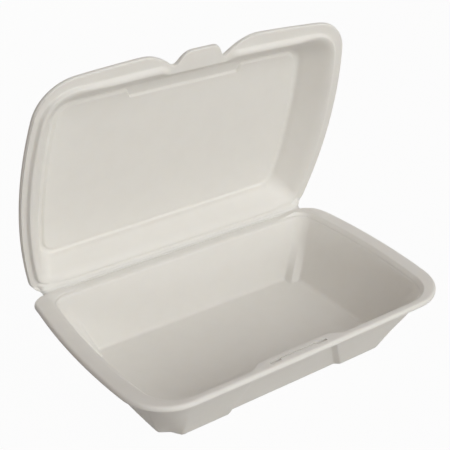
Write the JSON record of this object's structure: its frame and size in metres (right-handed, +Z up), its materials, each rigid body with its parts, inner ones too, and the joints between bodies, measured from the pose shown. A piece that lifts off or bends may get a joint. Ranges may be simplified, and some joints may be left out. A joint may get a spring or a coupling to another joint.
{
  "type": "foam clamshell container",
  "caption": "Open white foam takeaway box: a tray with pleated corners and a lock slot in its front rim, and a hinged lid with a sunken panel and a tab.",
  "frame": {"origin": "middle of the tray's flat underside", "axes": "+Z up, +X along the crease between tray and lid, -Y to the front, where the lock slot is"},
  "size_m": [0.242, 0.1687, 0.2041],
  "materials": {
    "foam": "matte"
  },
  "bodies": {
    "tray": {"tray": "foam"},
    "lid": {"lid": "foam"}
  },
  "joints": [
    {"name": "lid_hinge", "type": "hinge", "parent": "tray", "child": "lid", "pos_m": [0, 0.0693, 0.0459], "axis": [1, 0, 0], "range_deg": [-103.75, 76.25]}
  ]
}
